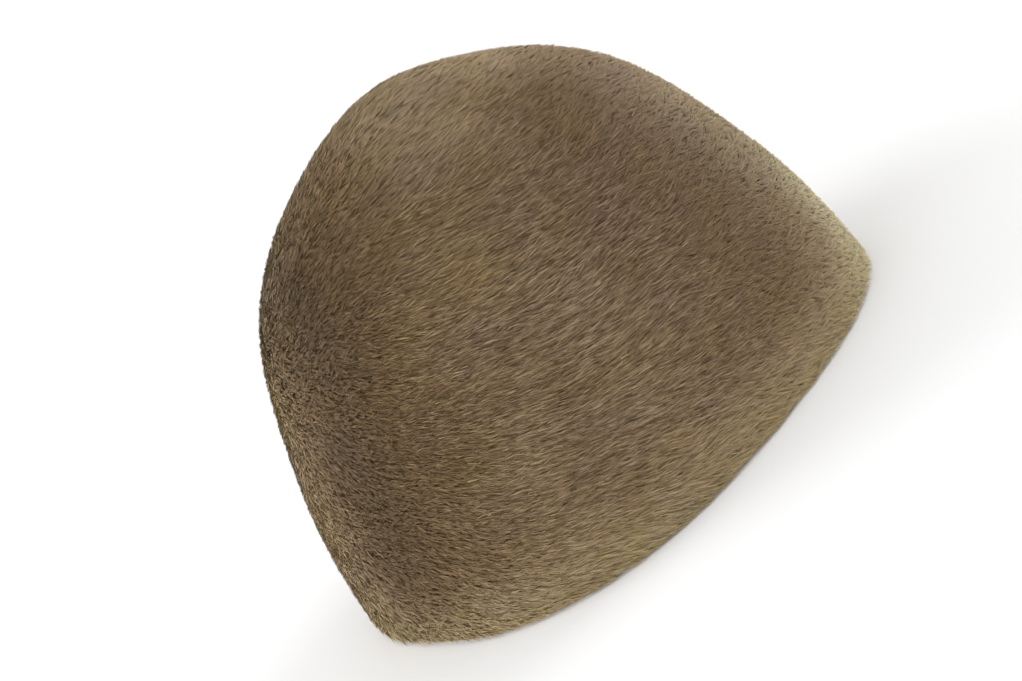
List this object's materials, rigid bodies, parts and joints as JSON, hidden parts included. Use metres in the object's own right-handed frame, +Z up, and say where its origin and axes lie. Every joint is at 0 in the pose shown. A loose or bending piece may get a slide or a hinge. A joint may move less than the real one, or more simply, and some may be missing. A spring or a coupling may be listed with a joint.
{
  "type": "cloche hat",
  "caption": "Close-fitting bell-shaped cloche hat of brushed velour felt, one hollow piece with a turned rim, worn on the head.",
  "frame": {"origin": "middle of the rim's bounding box on the plane it rests on, z = 0", "axes": "+Z up through the crown, +Y toward the back of the hat along its long axis, +X toward the wearer's left"},
  "size_m": [0.1996, 0.2288, 0.1654],
  "materials": {
    "felt": "brushed taupe velour felt with a short dense nap"
  },
  "bodies": {
    "root": {"felt_body": "felt"}
  },
  "joints": []
}
